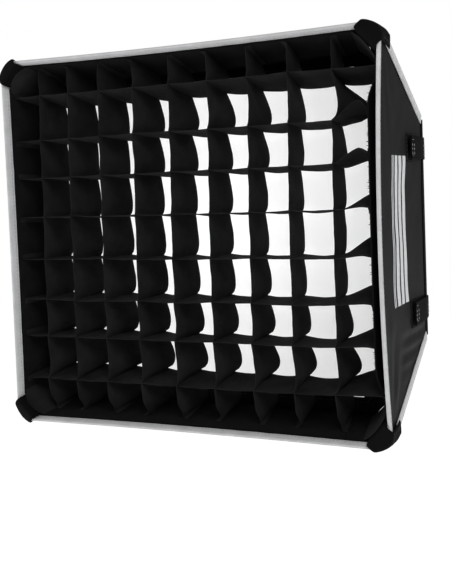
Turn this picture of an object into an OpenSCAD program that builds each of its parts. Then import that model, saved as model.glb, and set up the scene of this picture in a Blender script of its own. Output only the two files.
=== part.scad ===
// Fabric softbox for a square panel light.
// +Z is up, the mouth faces -Y, and the origin is the centre of the rear opening.
// Each corner seam of the shell is a straight line from a front corner to a rear corner.
// Cloth is drawn as flat plates that touch face to face or keep a small clearance.

/* [Shell] */
// Width of the mouth, over the edge bindings
front_w = 450; // [440:1:470]
// Height of the mouth, over the edge bindings
front_h = 385; // [375:1:400]
// Depth from the mouth to the rear hem
depth = 230; // [215:1:245]
// Width of the rear opening
rear_w = 310; // [296:1:320]
// Height of the rear opening
rear_h = 228; // [215:1:240]
// Thickness of the shell cloth with its lining
cloth_t = 1.4; // [1:0.1:1.8]

/* [Edge bindings and seams] */
// Width of the silver tape folded over the front edge
binding_w = 8; // [6:0.5:10]
// Thickness of one layer of tape
tape_t = 0.8; // [0.6:0.1:1]
// Width of each arm of the tape over a corner seam
seam_arm = 9; // [5:0.5:10]
// Outer diameter of the rod sleeve
sleeve_d = 9; // [8:0.5:10]
// Depth of the rear hem
hem_w = 12; // [10:1:14]

/* [Rods and corner pockets] */
// Diameter of a spring rod
rod_d = 4; // [3:0.5:4.5]
// Length of a spring rod
rod_len = 247; // [243:1:247]
// Width of the webbing that makes a corner pocket
pocket_w = 28; // [22:1:28]
// Thickness of that webbing
webbing_t = 2; // [1.5:0.1:2.2]

/* [Diffuser] */
// Distance of the diffuser behind the mouth
diffuser_at = 56; // [54:1:62]
// Thickness of the white cloth
diffuser_t = 0.8; // [0.5:0.1:1]
// Width of its black border
border_w = 12; // [8:1:16]

/* [Grid] */
// Distance of the grid's front edge behind the mouth
grid_at = 6; // [5:1:8]
// Depth of a strip from front to back
strip_depth = 42; // [36:1:44]
// Thickness of a strip
strip_t = 0.8; // [0.6:0.1:1]

/* [Straps] */
// Width of a barn-door strap
strap_w = 23; // [18:1:26]
// Length of a strap from its hem stitching to its tip
strap_len = 88; // [80:1:95]
// Distance of each strap from the middle of its side
strap_offset = 83; // [70:1:88]

/* [Hidden] */
$fn = 48;
// Clearance between layers that lie on each other, and room left beyond a cut
fit = 0.05;
far = 400;

// Half sizes of the shell's outer face at the mouth and at the rear opening
front_x = front_w / 2 - tape_t;
front_z = front_h / 2 - tape_t;
rear_x = rear_w / 2;
rear_z = rear_h / 2;

// A side panel leans in by side_lean, and a top or bottom panel by top_lean
side_lean = atan((front_x - rear_x) / depth);
top_lean = atan((front_z - rear_z) / depth);
side_slant = depth / cos(side_lean);
top_slant = depth / cos(top_lean);

// The top right seam: its length and direction, and half the angle between its two panels
seam_vector = [rear_x - front_x, depth, rear_z - front_z];
seam_len = norm(seam_vector);
seam_dir = seam_vector / seam_len;
side_normal = [cos(side_lean), sin(side_lean), 0];
top_normal = [0, sin(top_lean), cos(top_lean)];
half_fold = (180 - acos(side_normal * top_normal)) / 2;
inward = -(side_normal + top_normal) / norm(side_normal + top_normal);

// Tilt, heading and roll that carry +Z onto the seam and +X onto the inward bisector
seam_tilt = acos(seam_dir[2]);
seam_heading = atan2(seam_dir[1], seam_dir[0]);
tilted_x = [cos(seam_tilt) * cos(seam_heading), cos(seam_tilt) * sin(seam_heading), -sin(seam_tilt)];
tilted_y = [-sin(seam_heading), cos(seam_heading), 0];
seam_roll = atan2(inward * tilted_y, inward * tilted_x);

// The shell's layers, measured inward from its outer face
panel_inset = 3;
fold_room = 1.5;
loop_level = cloth_t + fit;
loop_t = 1;
hook_level = loop_level + loop_t + fit;
hook_t = 1.2;
band_inset = 30;
band_from = binding_w + 0.5;
band_to = diffuser_at + 26;
grid_skin = hook_level + hook_t + fit;

// The rod lies rod_in from the seam, in a sleeve on a web of doubled cloth
rod_in = 13.5;
web_t = 1.6;
sleeve_bore = rod_d + 1.6;
seam_from = 39;
seam_to = seam_len - hem_w - 3;
cap_d = rod_d + 1;
cap_len = 12;

// A corner pocket is webbing folded round the rod's tip: an outer leg, a front fold, an inner leg
fold_at = 3.5;
fold_out = 9;
leg_back = 38;
leg_lift = 0.2;
inner_leg = rod_in + sleeve_d / 2;
inner_leg_len = 16;
rod_from = fold_at + webbing_t + cap_d / 2 + 0.3;

border_t = 1.2;
border_lap = 4;
diffuser_chamfer = 24;
hook_len = 20;

// Nine uprights make ten columns of cells, and eight levels make nine rows
columns = 10;
rows = 9;
column_pitch = (front_w - 8) / columns;
row_pitch = (front_h - 8) / rows;
half_lap = strip_depth / 2;
slot_w = strip_t + 4 * fit;
corner_web_at = inner_leg + webbing_t + 0.5;
grid_band_from = band_from;
grid_band_to = grid_at + strip_depth + 3;

strap_t = 1.5;
strap_pad = 16;
strap_end = 1;

shell_black = [0.09, 0.09, 0.1];
webbing_black = [0.06, 0.06, 0.065];
grid_black = [0.12, 0.12, 0.13];
band_black = [0.07, 0.07, 0.075];
silver_tape = [0.68, 0.69, 0.71];
rod_grey = [0.45, 0.46, 0.48];

// Half sizes of the shell's outer face at a distance y behind the mouth
function half_w(y) = front_x - y * tan(side_lean);
function half_h(y) = front_z - y * tan(top_lean);

// A wall's lean, its slanting length, and half its length across at x along that slant
function is_side(wall) = wall == "left" || wall == "right";
function lean(wall) = is_side(wall) ? side_lean : top_lean;
function slant(wall) = is_side(wall) ? side_slant : top_slant;
function front_half(wall) = is_side(wall) ? front_z : front_x;
function rear_half(wall) = is_side(wall) ? rear_z : rear_x;
function taper(wall) = (front_half(wall) - rear_half(wall)) / slant(wall);
function wall_half(wall, x, inset) =
    front_half(wall) - x * taper(wall) - inset * sqrt(1 + taper(wall) * taper(wall));

// A wall's own frame: x runs back along its slope, y into the box, z across the wall
module on_wall(wall) {
    mirror([wall == "left" ? 1 : 0, 0, 0])
        mirror([0, 0, wall == "bottom" ? 1 : 0])
            translate(is_side(wall) ? [front_x, -depth, 0] : [0, -depth, front_z])
                rotate([0, is_side(wall) ? 0 : -90, 0])
                    rotate([0, 0, 90 + lean(wall)])
                        children();
}

// A trapezoid plate on a wall, from x = from to x = to, thick deep below the given level
module wall_plate(wall, from, to, level, thick, inset) {
    on_wall(wall)
        translate([0, level + thick, 0])
            rotate([90, 0, 0])
                linear_extrude(thick)
                    polygon([
                        [from, -wall_half(wall, from, inset)],
                        [to, -wall_half(wall, to, inset)],
                        [to, wall_half(wall, to, inset)],
                        [from, wall_half(wall, from, inset)]
                    ]);
}

// A corner's own frame: z runs back along the seam, x towards the inside of the box
module at_corner(side_x, side_z) {
    mirror([side_x < 0 ? 1 : 0, 0, 0])
        mirror([0, 0, side_z < 0 ? 1 : 0])
            translate([front_x, -depth, front_z])
                rotate([0, seam_tilt, seam_heading])
                    rotate([0, 0, seam_roll])
                        children();
}

// Extrudes an outline drawn in a corner's x and z, centred on the seam
module across_corner(width) {
    rotate([90, 0, 0])
        linear_extrude(width, center = true)
            children();
}

// Cuts the shell's four front corners back to the inside of the pockets
module corner_cuts() {
    for (side_x = [-1, 1], side_z = [-1, 1])
        at_corner(side_x, side_z)
            across_corner(4 * pocket_w)
                polygon([
                    [-far / 4, -far / 4],
                    [far / 4, -far / 4],
                    [far / 4, fold_at + webbing_t + fit],
                    [fold_out + webbing_t + fit, fold_at + webbing_t + fit],
                    [leg_lift + fit, leg_back],
                    [-far / 4, leg_back]
                ]);
}

module shell(wall) {
    color(shell_black)
        difference() {
            wall_plate(wall, fold_room, slant(wall) - fold_room, 0, cloth_t, panel_inset);
            corner_cuts();
        }
}

// Tape folded over the front edge, with a round nose and a slot for the cloth
module binding(wall) {
    nose_r = cloth_t / 2 + tape_t;
    color(silver_tape)
        difference() {
            on_wall(wall)
                linear_extrude(2 * front_half(wall), center = true)
                    difference() {
                        union() {
                            translate([nose_r, cloth_t / 2])
                                circle(r = nose_r);
                            translate([nose_r, -tape_t])
                                square([binding_w - nose_r, 2 * nose_r]);
                        }
                        translate([fold_room - fit, -fit])
                            square([binding_w, cloth_t + 2 * fit]);
                    }
            corner_cuts();
        }
}

// Tape over the seam outside, and inside it the web and the sleeve for the rod
module seam(side_x, side_z) {
    arm = [cos(half_fold), sin(half_fold)];
    outward = [-sin(half_fold), cos(half_fold)];
    low = seam_arm * arm + fit * outward;
    high = seam_arm * arm + tape_t * outward;
    run = seam_to - seam_from;
    color(silver_tape)
        at_corner(side_x, side_z)
            translate([0, 0, seam_from])
                difference() {
                    union() {
                        linear_extrude(run)
                            polygon([
                                [-tape_t / sin(half_fold), 0],
                                high,
                                low,
                                [-fit / sin(half_fold), 0],
                                [low[0], -low[1]],
                                [high[0], -high[1]]
                            ]);
                        translate([-tape_t / 2, -web_t / 2, 0])
                            cube([rod_in, web_t, run]);
                        translate([rod_in, 0, 0])
                            cylinder(d = sleeve_d, h = run);
                    }
                    translate([rod_in, 0, -1])
                        cylinder(d = sleeve_bore, h = run + 2);
                }
}

// A spring rod with a rounded cap on each end
module rod(side_x, side_z) {
    color(rod_grey)
        at_corner(side_x, side_z)
            translate([rod_in, 0, rod_from]) {
                cylinder(d = rod_d, h = rod_len);
                for (end = [0, rod_len - cap_len])
                    translate([0, 0, end])
                        cylinder(d = cap_d, h = cap_len);
                for (end = [0, rod_len])
                    translate([0, 0, end])
                        sphere(d = cap_d);
            }
}

module pocket(side_x, side_z) {
    color(webbing_black)
        at_corner(side_x, side_z)
            across_corner(pocket_w)
                polygon([
                    [fold_out, fold_at],
                    [inner_leg + webbing_t, fold_at],
                    [inner_leg + webbing_t, fold_at + inner_leg_len],
                    [inner_leg, fold_at + inner_leg_len],
                    [inner_leg, fold_at + webbing_t],
                    [fold_out + webbing_t, fold_at + webbing_t],
                    [leg_lift, leg_back],
                    [leg_lift - webbing_t, leg_back]
                ]);
}

// Tape folded over the rear edge, with a webbing eye at each corner for the rod
module rear_hem() {
    eye_d = sleeve_d + 1;
    eye_web = 5;
    color(webbing_black)
        difference() {
            intersection() {
                union() {
                    for (wall = ["top", "bottom", "left", "right"])
                        wall_plate(wall, slant(wall) - hem_w, slant(wall) + tape_t + fold_room,
                            -tape_t, cloth_t + 2 * tape_t, -tape_t);
                    for (side_x = [-1, 1], side_z = [-1, 1])
                        at_corner(side_x, side_z)
                            translate([rod_in, 0, seam_len - hem_w]) {
                                cylinder(d = eye_d, h = 2 * hem_w);
                                translate([-rod_in, -eye_web / 2, 0])
                                    cube([rod_in, eye_web, 2 * hem_w]);
                            }
                }
                translate([-far, -far, -far])
                    cube([2 * far, far, 2 * far]);
            }
            for (wall = ["top", "bottom", "left", "right"])
                wall_plate(wall, slant(wall) - 2 * hem_w, slant(wall) - fold_room + fit,
                    -fit, cloth_t + 2 * fit, panel_inset - fit);
            for (side_x = [-1, 1], side_z = [-1, 1])
                at_corner(side_x, side_z)
                    translate([rod_in, 0, 0])
                        cylinder(d = sleeve_bore, h = far);
        }
}

module loop_band(wall) {
    color(band_black)
        wall_plate(wall, band_from, band_to, loop_level, loop_t, band_inset);
}

// A rectangle with its four corners cut off at 45 degrees
module chamfered(half_x, half_z, cut) {
    intersection() {
        square([2 * half_x, 2 * half_z], center = true);
        rotate(45)
            square((half_x + half_z - cut) * sqrt(2), center = true);
    }
}

// Stands an outline drawn in X and Z upright, from y to y + thick behind the mouth
module facing(y, thick) {
    translate([0, y + thick - depth, 0])
        rotate([90, 0, 0])
            linear_extrude(thick)
                children();
}

ring_x = half_w(diffuser_at) - (hook_level + fit) / cos(side_lean);
ring_z = half_h(diffuser_at) - (hook_level + fit) / cos(top_lean);

module diffuser_cloth() {
    inset = border_w - border_lap;
    color("white")
        facing(diffuser_at + fit, diffuser_t)
            chamfered(ring_x - inset, ring_z - inset, diffuser_chamfer);
}

// A flat black border, with a flap of hook tape that lies back along each wall
module diffuser_border() {
    color(band_black) {
        facing(diffuser_at - border_t, border_t)
            difference() {
                chamfered(ring_x, ring_z, diffuser_chamfer);
                chamfered(ring_x - border_w, ring_z - border_w, diffuser_chamfer);
            }
        for (wall = ["top", "bottom", "left", "right"])
            wall_plate(wall, diffuser_at / cos(lean(wall)), diffuser_at / cos(lean(wall)) + hook_len,
                hook_level, hook_t, band_inset);
    }
}

module grid_band(wall) {
    color(band_black)
        wall_plate(wall, grid_band_from, grid_band_to, hook_level, hook_t, band_inset);
}

// Cloth that closes the grid's edge across a corner, inside the pocket
module grid_corner(side_x, side_z) {
    wide = (corner_web_at * sin(half_fold) - hook_level) / cos(half_fold);
    color(grid_black)
        at_corner(side_x, side_z)
            translate([corner_web_at, -wide, grid_band_from + 3])
                cube([strip_t, 2 * wide, grid_band_to - grid_band_from]);
}

// The strips taper with the walls: each leans in by its share of the wall's own lean
function upright_x(index) = (index - columns / 2) * column_pitch;
function upright_lean(index) = atan((2 * index / columns - 1) * tan(side_lean));
function level_z(index) = (rows / 2 - index) * row_pitch;
function level_lean(index) = atan((1 - 2 * index / rows) * tan(top_lean));

// An upright's own frame: x runs back from its front edge, y is up, z is its thickness
module on_upright(index) {
    translate([upright_x(index), grid_at - depth, 0])
        rotate([90, 0, 90 + upright_lean(index)])
            children();
}

// A level's own frame: y runs back from its front edge, z is its thickness
module on_level(index) {
    translate([0, grid_at - depth, level_z(index)])
        rotate([-level_lean(index), 0, 0])
            children();
}

// Everything behind a distance y from the mouth
module behind(y) {
    translate([-far, y - depth, -far])
        cube(2 * far);
}

// An upright strip runs from wall to wall, and is slotted from behind for the level strips
module grid_upright(index) {
    back = grid_at + strip_depth * cos(upright_lean(index));
    front_end = half_h(grid_at) - grid_skin / cos(top_lean);
    back_end = half_h(back) - grid_skin / cos(top_lean);
    color(grid_black)
        difference() {
            on_upright(index)
                linear_extrude(strip_t, center = true)
                    polygon([
                        [0, -front_end], [strip_depth, -back_end],
                        [strip_depth, back_end], [0, front_end]
                    ]);
            intersection() {
                for (level = [1:rows - 1])
                    on_level(level)
                        translate([-far, 0, -slot_w / 2])
                            cube([2 * far, 2 * strip_depth, slot_w]);
                behind(grid_at + half_lap - fit);
            }
        }
}

// A level strip is slotted from the front for the upright strips
module grid_level(index) {
    back = grid_at + strip_depth * cos(level_lean(index));
    front_end = half_w(grid_at) - grid_skin / cos(side_lean);
    back_end = half_w(back) - grid_skin / cos(side_lean);
    color(grid_black)
        difference() {
            on_level(index)
                linear_extrude(strip_t, center = true)
                    polygon([
                        [-front_end, 0], [front_end, 0],
                        [back_end, strip_depth], [-back_end, strip_depth]
                    ]);
            difference() {
                for (upright = [1:columns - 1])
                    on_upright(upright)
                        translate([-strip_depth, -far, -slot_w / 2])
                            cube([2 * strip_depth, 2 * far, slot_w]);
                behind(grid_at + half_lap + fit);
            }
        }
}

// A flat strap sewn to the hem, with a hook pad under its tip; across places it on its wall
module strap(wall, across) {
    strap_from = slant(wall) - strap_end - strap_len;
    color(webbing_black)
        on_wall(wall) {
            translate([strap_from, -tape_t - fit - strap_t, across - strap_w / 2])
                cube([strap_len, strap_t, strap_w]);
            translate([strap_from, -tape_t - fit, across - strap_w / 2])
                cube([strap_pad, tape_t, strap_w]);
        }
}

shell("top");  // shell_top
shell("bottom");  // shell_bottom
shell("left");  // shell_left
shell("right");  // shell_right
binding("top");  // binding_top
binding("bottom");  // binding_bottom
binding("left");  // binding_left
binding("right");  // binding_right
seam(1, 1);  // seam_top_right
seam(-1, 1);  // seam_top_left
seam(1, -1);  // seam_bottom_right
seam(-1, -1);  // seam_bottom_left
rod(1, 1);  // rod_top_right
rod(-1, 1);  // rod_top_left
rod(1, -1);  // rod_bottom_right
rod(-1, -1);  // rod_bottom_left
pocket(1, 1);  // pocket_top_right
pocket(-1, 1);  // pocket_top_left
pocket(1, -1);  // pocket_bottom_right
pocket(-1, -1);  // pocket_bottom_left
rear_hem();
loop_band("top");  // loop_band_top
loop_band("bottom");  // loop_band_bottom
loop_band("left");  // loop_band_left
loop_band("right");  // loop_band_right
diffuser_cloth();
diffuser_border();
grid_band("top");  // grid_band_top
grid_band("bottom");  // grid_band_bottom
grid_band("left");  // grid_band_left
grid_band("right");  // grid_band_right
grid_corner(1, 1);  // grid_corner_top_right
grid_corner(-1, 1);  // grid_corner_top_left
grid_corner(1, -1);  // grid_corner_bottom_right
grid_corner(-1, -1);  // grid_corner_bottom_left
grid_upright(1);  // grid_upright_1
grid_upright(2);  // grid_upright_2
grid_upright(3);  // grid_upright_3
grid_upright(4);  // grid_upright_4
grid_upright(5);  // grid_upright_5
grid_upright(6);  // grid_upright_6
grid_upright(7);  // grid_upright_7
grid_upright(8);  // grid_upright_8
grid_upright(9);  // grid_upright_9
grid_level(1);  // grid_level_1
grid_level(2);  // grid_level_2
grid_level(3);  // grid_level_3
grid_level(4);  // grid_level_4
grid_level(5);  // grid_level_5
grid_level(6);  // grid_level_6
grid_level(7);  // grid_level_7
grid_level(8);  // grid_level_8
strap("right", strap_offset);  // strap_right_upper
strap("right", -strap_offset);  // strap_right_lower
strap("left", strap_offset);  // strap_left_upper
strap("left", -strap_offset);  // strap_left_lower
strap("top", -strap_offset);  // strap_top_right
strap("top", strap_offset);  // strap_top_left
strap("bottom", -strap_offset);  // strap_bottom_right
strap("bottom", strap_offset);  // strap_bottom_left
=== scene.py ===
"""A fabric softbox with an egg-crate grid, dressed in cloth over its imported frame.

Lengths are in metres. Each wall of the box has its own coordinates: s runs back along the
slope from the mouth, a runs across the wall, and n goes into the box from its outer face.
"""

from math import acos, atan2, copysign, cos, exp, hypot, pi, radians, sin, sqrt, tan

import bpy
from mathutils import Matrix, Vector, noise

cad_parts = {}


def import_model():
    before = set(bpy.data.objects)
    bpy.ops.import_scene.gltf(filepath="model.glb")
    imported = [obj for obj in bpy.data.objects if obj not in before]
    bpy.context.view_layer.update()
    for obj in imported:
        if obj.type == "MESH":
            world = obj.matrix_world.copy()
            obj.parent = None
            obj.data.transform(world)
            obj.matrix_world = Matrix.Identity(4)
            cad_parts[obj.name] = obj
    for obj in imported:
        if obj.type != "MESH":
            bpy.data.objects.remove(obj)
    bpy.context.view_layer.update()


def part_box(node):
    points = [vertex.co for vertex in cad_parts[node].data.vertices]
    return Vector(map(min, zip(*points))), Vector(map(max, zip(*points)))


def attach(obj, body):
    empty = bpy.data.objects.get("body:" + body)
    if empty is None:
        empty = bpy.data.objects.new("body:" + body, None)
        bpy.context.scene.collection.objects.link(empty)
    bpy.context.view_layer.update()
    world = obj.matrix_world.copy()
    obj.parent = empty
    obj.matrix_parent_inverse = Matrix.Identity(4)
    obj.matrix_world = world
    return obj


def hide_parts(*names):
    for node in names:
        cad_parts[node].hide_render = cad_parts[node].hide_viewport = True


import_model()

WALLS = ("top", "bottom", "left", "right")
CORNERS = {"top_right": (1, 1), "top_left": (-1, 1), "bottom_right": (1, -1), "bottom_left": (-1, -1)}
UP = Vector((0, 0, 1))

# Layers of each wall, as levels below its outer face, and the room between a tape and a layer on it
CLOTH = 0.0014
FOLD = 0.0015
TAPE = 0.0008
LOOP_LEVEL = 0.00145
LOOP = 0.001
HOOK_LEVEL = 0.0025
HOOK = 0.0012
SKIN = 0.0038
ROOM = 0.0001

# The edge tapes, the seams, their sleeves and the pockets on their front ends
PANEL_INSET = 0.003
BINDING_W = 0.008
BINDING_END = 0.0118
HEM_W = 0.012
SEAM_ARM = 0.0092
SEAM_FROM = 0.034
SLEEVE_FROM = 0.039
SLEEVE_T = 0.0008
ROD_IN = 0.0135
ROD_R = 0.002
CAP_R = 0.0025
SLEEVE_R = 0.0045
BORE_R = 0.0028
CORNER_WEB = 0.0209
POCKET_W = 0.028
WEBBING = 0.0018

# The straps, with a hook pad under each tip and a loop patch below it
STRAPS = {
    "right_upper": "right", "right_lower": "right", "left_upper": "left", "left_lower": "left",
    "top_right": "top", "top_left": "top", "bottom_right": "bottom", "bottom_left": "bottom",
}
STRAP_T = 0.0015
PATCH_W = 0.028

# The grid
COLUMNS = 10
ROWS = 9
STRIP = 0.0008
CELL_STEPS = 12
DEPTH_STEPS = 8

# How far the cloth of each wall is drawn in between its rods, at the mouth and further back
MOUTH_PULL = {"top": 0.0026, "bottom": 0.0018, "left": 0.0012, "right": 0.0052}
BELLY_PULL = 0.0035


def smooth(t):
    """0 at t <= 0, 1 at t >= 1, and a smooth step between."""
    t = min(max(t, 0.0), 1.0)
    return t * t * (3 - 2 * t)


def spread(low, high, count):
    """count + 1 evenly spaced values from low to high."""
    return [low + (high - low) * k / count for k in range(count + 1)]


def uneven(x, y, z):
    """A smooth random value between about -1 and 1, the same in each run."""
    return noise.noise(Vector((x, y, z)))


def circle(count):
    """The angles of count points round a circle."""
    return spread(0, 2 * pi, count)[:-1]


# ---- the shape of the box


class Wall:
    """One slanting side of the box, read from its CAD panel."""

    def __init__(self, name):
        self.name = name
        low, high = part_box("shell_" + name)
        self.axis = 2 if name in ("left", "right") else 0
        out = Vector((0, 0, 0))
        out[2 - self.axis] = 1 if name in ("right", "top") else -1
        narrow, wide = sorted((abs(low[2 - self.axis]), abs(high[2 - self.axis])))
        lean = 0.3
        for _ in range(6):
            lean = atan2(wide - narrow - CLOTH * cos(lean), high[1] - low[1] - CLOTH * sin(lean))
        self.lean = lean
        self.back = Vector((0, cos(lean), 0)) - out * sin(lean)
        self.inn = -out * cos(lean) + Vector((0, -sin(lean), 0))
        self.across = UP if self.axis == 2 else Vector((1, 0, 0))
        front = out * wide + Vector((0, low[1] + CLOTH * sin(lean), 0))
        self.mouth = front - self.back * FOLD
        self.slant = (high[1] - self.mouth.y) / cos(lean) + FOLD

    def reach(self, y):
        """How far the outer face stands from the middle at a place y."""
        flat = (y - self.mouth.y) * tan(self.lean)
        return abs(self.mouth.x + self.mouth.z) - flat

    def half(self, s):
        """Half the wall's width at s, out to the seams."""
        neighbour = walls["top" if self.axis == 2 else "right"]
        return neighbour.reach(self.mouth.y + s * cos(self.lean))

    def pull(self, s, a):
        """How far the cloth is drawn in at a place, with its soft folds."""
        u = min(abs(a) / self.half(s), 1.0)
        v = min(max(s / self.slant, 0.0), 1.0)
        bow = (1 - u * u) * (MOUTH_PULL[self.name] * (1 - v) ** 2 + BELLY_PULL * 4 * v * (1 - v))
        pinned = smooth((1 - u) * 5) * smooth((1 - v) * 6) * smooth((s - 0.004) / 0.05)
        seed = 3.7 * WALLS.index(self.name)
        folds = uneven(s * 9 + a * 4, a * 22, seed)
        folds += 0.5 * uneven(s * 24, a * 46 - s * 12, seed + 9)
        drag = 0.0
        for end in (-1, 1):
            along = hypot(s, self.half(0) - end * a)
            angle = atan2(s, self.half(0) - end * a + 1e-6)
            drag += sin(angle * 17 + seed + end) * exp(-((along - 0.07) / 0.045) ** 2)
        low_end = exp(-((a + 0.8 * self.half(s)) / 0.028) ** 2) if self.name == "right" else 0.0
        pleats = low_end * sin(a * 420 + s * 9) * smooth((v - 0.25) * 4)
        return bow + pinned * (0.0011 * folds + 0.0008 * drag + 0.0011 * pleats)

    def flat_point(self, s, a, n):
        """A point of the wall before its cloth is drawn in."""
        return self.mouth + self.back * s + self.across * a + self.inn * n

    def point(self, s, a, n):
        return self.flat_point(s, a, n + self.pull(s, a))

    def line(self, s, n, reach, steps=60):
        """Points across the wall at one s, from -reach to reach."""
        return [self.point(s, a, n) for a in spread(-reach, reach, steps)]

    def slope_at(self, y, n):
        """The s of the place where level n passes y."""
        return (y - self.mouth.y + n * sin(self.lean)) / cos(self.lean)

    def slopes(self, node, level):
        """The s of the two ends of a CAD band that lies on the wall."""
        low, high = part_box(node)
        return self.slope_at(low[1], level + LOOP), self.slope_at(high[1], level)


walls = {name: Wall(name) for name in WALLS}
MOUTH_Y = walls["right"].mouth.y
FRONT_X, FRONT_Z = walls["right"].reach(MOUTH_Y), walls["top"].reach(MOUTH_Y)


class Seam:
    """A corner seam: z runs back along it, x into the box, y across the fold."""

    def __init__(self, name):
        right, top = walls["right"], walls["top"]
        self.name = name
        self.signs = CORNERS[name]
        self.side = walls["right" if self.signs[0] > 0 else "left"]
        self.end = walls["top" if self.signs[1] > 0 else "bottom"]
        self.start = Vector((FRONT_X, MOUTH_Y, FRONT_Z))
        run = Vector((right.reach(0), 0, top.reach(0))) - self.start
        self.length = run.length
        self.z = run.normalized()
        self.x = (right.inn + top.inn).normalized()
        self.y = self.z.cross(self.x)
        self.half_fold = (pi - acos(right.inn.dot(top.inn))) / 2

    def mirrored(self, v):
        return Vector((v.x * self.signs[0], v.y, v.z * self.signs[1]))

    def point(self, x, y, z):
        return self.mirrored(self.start + self.x * x + self.y * y + self.z * z)

    def line(self, x, y, z_from, z_to, steps):
        """Points along the seam, from z_from to z_to."""
        return [self.point(x, y, z) for z in spread(z_from, z_to, steps)]

    def ring(self, radius, z, sides):
        """A circle of points round the rod's axis at z."""
        return [self.point(ROD_IN + radius * cos(t), radius * sin(t), z) for t in circle(sides)]


seams = [Seam(name) for name in CORNERS]


# ---- mesh helpers


def linked(name, data, place=Matrix()):
    """A new object in the scene."""
    made = bpy.data.objects.new(name, data)
    made.matrix_world = place
    bpy.context.collection.objects.link(made)
    return made


def build(name, points, faces, materials, face_material=None, uvs=None):
    """A mesh object from points and faces, with its cloth coordinates if it has any."""
    mesh = bpy.data.meshes.new(name)
    mesh.from_pydata([tuple(p) for p in points], [], faces)
    for m in materials:
        mesh.materials.append(m)
    for k, polygon in enumerate(mesh.polygons):
        polygon.use_smooth = True
        if face_material:
            polygon.material_index = face_material[k]
    if uvs:
        layer = mesh.uv_layers.new(name="cloth")
        for loop in mesh.loops:
            layer.data[loop.index].uv = uvs[loop.vertex_index]
    mesh.update()
    return linked(name, mesh)


def turned_out(piece):
    """A closed mesh whose faces all look out of it, and whose folds stay sharp."""
    mesh = piece.data
    volume = 0.0
    mesh.calc_loop_triangles()
    for t in mesh.loop_triangles:
        p, q, r = (mesh.vertices[i].co for i in t.vertices)
        volume += p.dot(q.cross(r))
    if volume < 0:
        mesh.flip_normals()
    mesh.set_sharp_from_angle(angle=radians(40))
    return piece


def lengths(line):
    """The distance along a line of points, at each point."""
    run = [0.0]
    for p, q in zip(line, line[1:]):
        run.append(run[-1] + (q - p).length)
    return run


def closed_sheet(name, outer, inner, *materials):
    """Cloth with two faces, from two grids of points that lie its thickness apart.

    The first material is for the outer face and the rim, the last for the inner face.
    """
    rows, cols = len(outer), len(outer[0])
    points = [p for row in outer + inner for p in row]
    along = lengths([row[cols // 2] for row in outer])
    cross = lengths(outer[rows // 2])
    uvs = [(u, v) for v in along for u in cross] * 2
    under = rows * cols
    faces = []
    for first in range(0, under - cols, cols):
        for p in range(first, first + cols - 1):
            q = p + cols
            faces.append((p, p + 1, q + 1, q))
            faces.append((p + under, q + under, q + 1 + under, p + 1 + under))
    mats = [0, len(materials) - 1] * (len(faces) // 2)
    for p in range(0, under - cols, cols):
        q = p + cols
        faces.append((p, q, q + under, p + under))
        faces.append((q - 1, q - 1 + under, q + cols - 1 + under, q + cols - 1))
    for p in range(cols - 1):
        q = under - cols + p
        faces.append((p, p + under, p + 1 + under, p + 1))
        faces.append((q, q + 1, q + 1 + under, q + under))
    mats += [0] * (len(faces) - len(mats))
    return turned_out(build(name, points, faces, materials, mats, uvs))


def layered(name, rows, columns, levels, place, *materials):
    """A closed sheet whose points are place(row, column, level) on two levels."""
    outer, inner = ([[place(r, c, level) for c in columns] for r in rows] for level in levels)
    return closed_sheet(name, outer, inner, *materials)


def swept(name, rings, material, caps=True):
    """A skin over closed rings of points, one ring after another."""
    count = len(rings[0])
    points = [p for ring in rings for p in ring]
    along = lengths([ring[0] for ring in rings])
    round_it = lengths(list(rings[0]))
    uvs = [(u, v) for v in along for u in round_it]
    faces = []
    for first in range(0, len(points) - count, count):
        for k in range(count):
            q = (k + 1) % count
            faces.append((first + k, first + q, first + count + q, first + count + k))
    if caps:
        faces.append(tuple(range(count)))
        faces.append(tuple(reversed(range(len(points) - count, len(points)))))
    return turned_out(build(name, points, faces, [material], None, uvs))


def lathe(name, profile, origin, axis, material, sides=24):
    """A turned piece: profile is (distance along the axis, radius) from end to end."""
    side = Vector((1, 0, 0)) if abs(axis.x) < 0.8 else UP
    first = (side - axis * side.dot(axis)).normalized()
    second = axis.cross(first)
    rings = []
    for along, radius in profile:
        middle = origin + axis * along
        rings.append([middle + (first * cos(t) + second * sin(t)) * radius for t in circle(sides)])
    return swept(name, rings, material)


def padded_sheet(name, grid, thickness, material):
    """Cloth of a given thickness about a grid of points."""
    rows, cols = len(grid), len(grid[0])
    outer, inner = [], []
    for r in range(rows):
        over_row = []
        for c in range(cols):
            down = grid[min(r + 1, rows - 1)][c] - grid[max(r - 1, 0)][c]
            over = grid[r][min(c + 1, cols - 1)] - grid[r][max(c - 1, 0)]
            share = 0.7 if c in (0, cols - 1) else 1.0
            over_row.append(down.cross(over).normalized() * thickness / 2 * share)
        outer.append([p - normal for p, normal in zip(grid[r], over_row)])
        inner.append([p + normal for p, normal in zip(grid[r], over_row)])
    return closed_sheet(name, outer, inner, material)


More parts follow.
